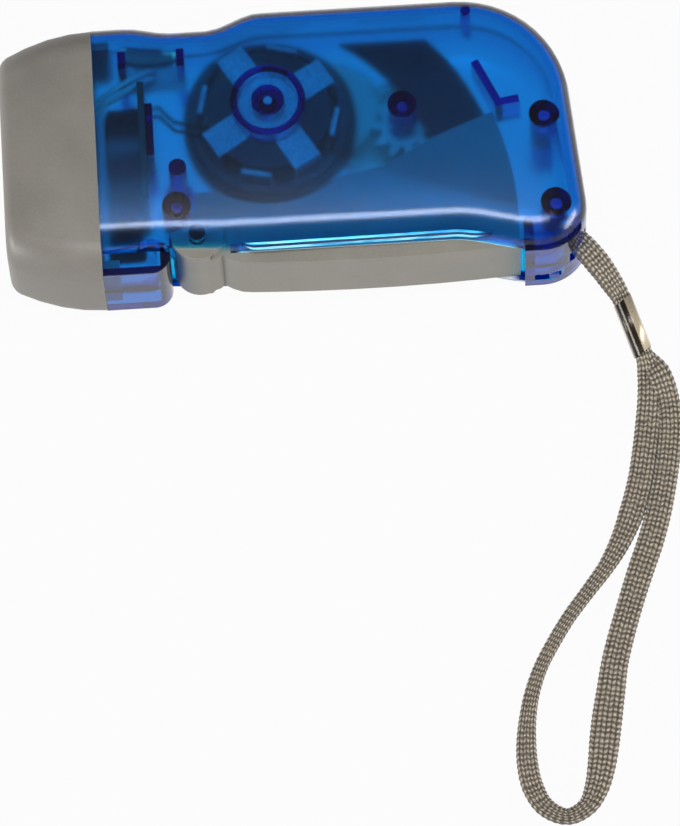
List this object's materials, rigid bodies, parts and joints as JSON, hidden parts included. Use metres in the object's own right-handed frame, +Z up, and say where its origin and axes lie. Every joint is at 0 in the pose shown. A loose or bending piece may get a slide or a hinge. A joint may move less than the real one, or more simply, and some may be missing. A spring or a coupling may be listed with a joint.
{
  "type": "hand-press dynamo flashlight",
  "caption": "Pocket torch in translucent blue plastic with a grey head and press lever; squeezing the lever drives a rack, gears and a flywheel generator; braided wrist strap",
  "frame": {"origin": "Middle of the torch's outline on the flat broad side it lies on, without the strap", "axes": "+X runs from the head to the tail, so the beam leaves along -X; +Y is the switch edge and -Y the press lever; +Z is up from the broad side it lies on"},
  "size_m": [0.1197, 0.1515, 0.025],
  "materials": {
    "blue_shell": "translucent, frosted broad faces and glossy sides",
    "blue_solid": "glossy",
    "grey_plastic": "satin moulded",
    "lens_clear": "polished clear plastic",
    "reflector_chrome": "vacuum-plated",
    "led_epoxy": "clear epoxy",
    "board": "lacquered laminate",
    "black_plastic": "moulded",
    "plated_steel": "zinc-plated",
    "black_flywheel": "black lacquer",
    "magnet": "sintered",
    "bush_bronze": "sintered",
    "gear_plastic": "moulded",
    "pawl_steel": "blued spring steel",
    "copper_enamel": "enamelled",
    "wire_sleeve": "insulation",
    "braid": "flat tubular braid",
    "ferrule_metal": "nickel-plated"
  },
  "bodies": {
    "housing": {"shell_upper": "blue_shell", "shell_lower": "blue_shell", "head_bezel": "grey_plastic", "lens": "lens_clear", "reflector": "reflector_chrome", "leds": "led_epoxy", "led_board": "board", "control_board": "board", "board_diodes": "black_plastic", "rechargeable_cell": "black_plastic", "switch_body": "plated_steel", "pivot_pin": "plated_steel", "return_spring": "plated_steel", "case_screws": "plated_steel", "gear_axle": "plated_steel", "intermediate_axle": "plated_steel", "stator_plate_upper": "plated_steel", "stator_plate_lower": "plated_steel", "rotor_bush_upper": "bush_bronze", "rotor_bush_lower": "bush_bronze", "coil_bobbin": "gear_plastic", "coil_winding": "copper_enamel", "coil_leads": "copper_enamel", "lamp_wires": "wire_sleeve", "wrist_strap": "braid", "strap_ferrule": "ferrule_metal"},
    "lever_arm": {"lever": "grey_plastic", "drive_rack": "black_plastic"},
    "catch": {"lever_catch": "blue_solid"},
    "slider": {"switch_slider": "grey_plastic", "switch_stem": "black_plastic"},
    "input": {"input_pinion": "gear_plastic"},
    "drive": {"drive_gear": "gear_plastic", "clutch_pawl": "pawl_steel"},
    "middle": {"intermediate_gear": "gear_plastic"},
    "rotor": {"flywheel": "black_flywheel", "ring_magnet": "magnet", "rotor_shaft": "plated_steel", "rotor_pinion": "gear_plastic"}
  },
  "joints": [
    {"name": "lever_swing", "type": "hinge", "parent": "housing", "child": "lever_arm", "pos_m": [-0.0179, -0.01785, 0.0125], "axis": [0, 0, -1], "range_deg": [0, 20]},
    {"name": "pinion_spin", "type": "hinge", "parent": "housing", "child": "input", "pos_m": [0.02021, 0.00415, 0.0125], "axis": [0, 0, -1], "continuous": true},
    {"name": "drive_spin", "type": "hinge", "parent": "housing", "child": "drive", "pos_m": [0.02021, 0.00415, 0.0125], "axis": [0, 0, -1], "continuous": true},
    {"name": "middle_spin", "type": "hinge", "parent": "housing", "child": "middle", "pos_m": [0.00704, 0.00999, 0.0125], "axis": [0, 0, 1], "continuous": true},
    {"name": "flywheel_spin", "type": "hinge", "parent": "housing", "child": "rotor", "pos_m": [-0.0039, 0.00645, 0.0125], "axis": [0, 0, -1], "continuous": true},
    {"name": "switch_slide", "type": "slide", "parent": "housing", "child": "slider", "axis": [1, 0, 0], "range_m": [0, 0.0025]},
    {"name": "catch_slide", "type": "slide", "parent": "housing", "child": "catch", "axis": [-1, 0, 0], "range_m": [0, 0.0022]}
  ],
  "couplings": [
    {"joint": "pinion_spin", "follows": "lever_swing", "ratio": 9.8},
    {"joint": "drive_spin", "follows": "lever_swing", "ratio": 9.8},
    {"joint": "middle_spin", "follows": "lever_swing", "ratio": 37.24},
    {"joint": "flywheel_spin", "follows": "lever_swing", "ratio": 134.06}
  ]
}
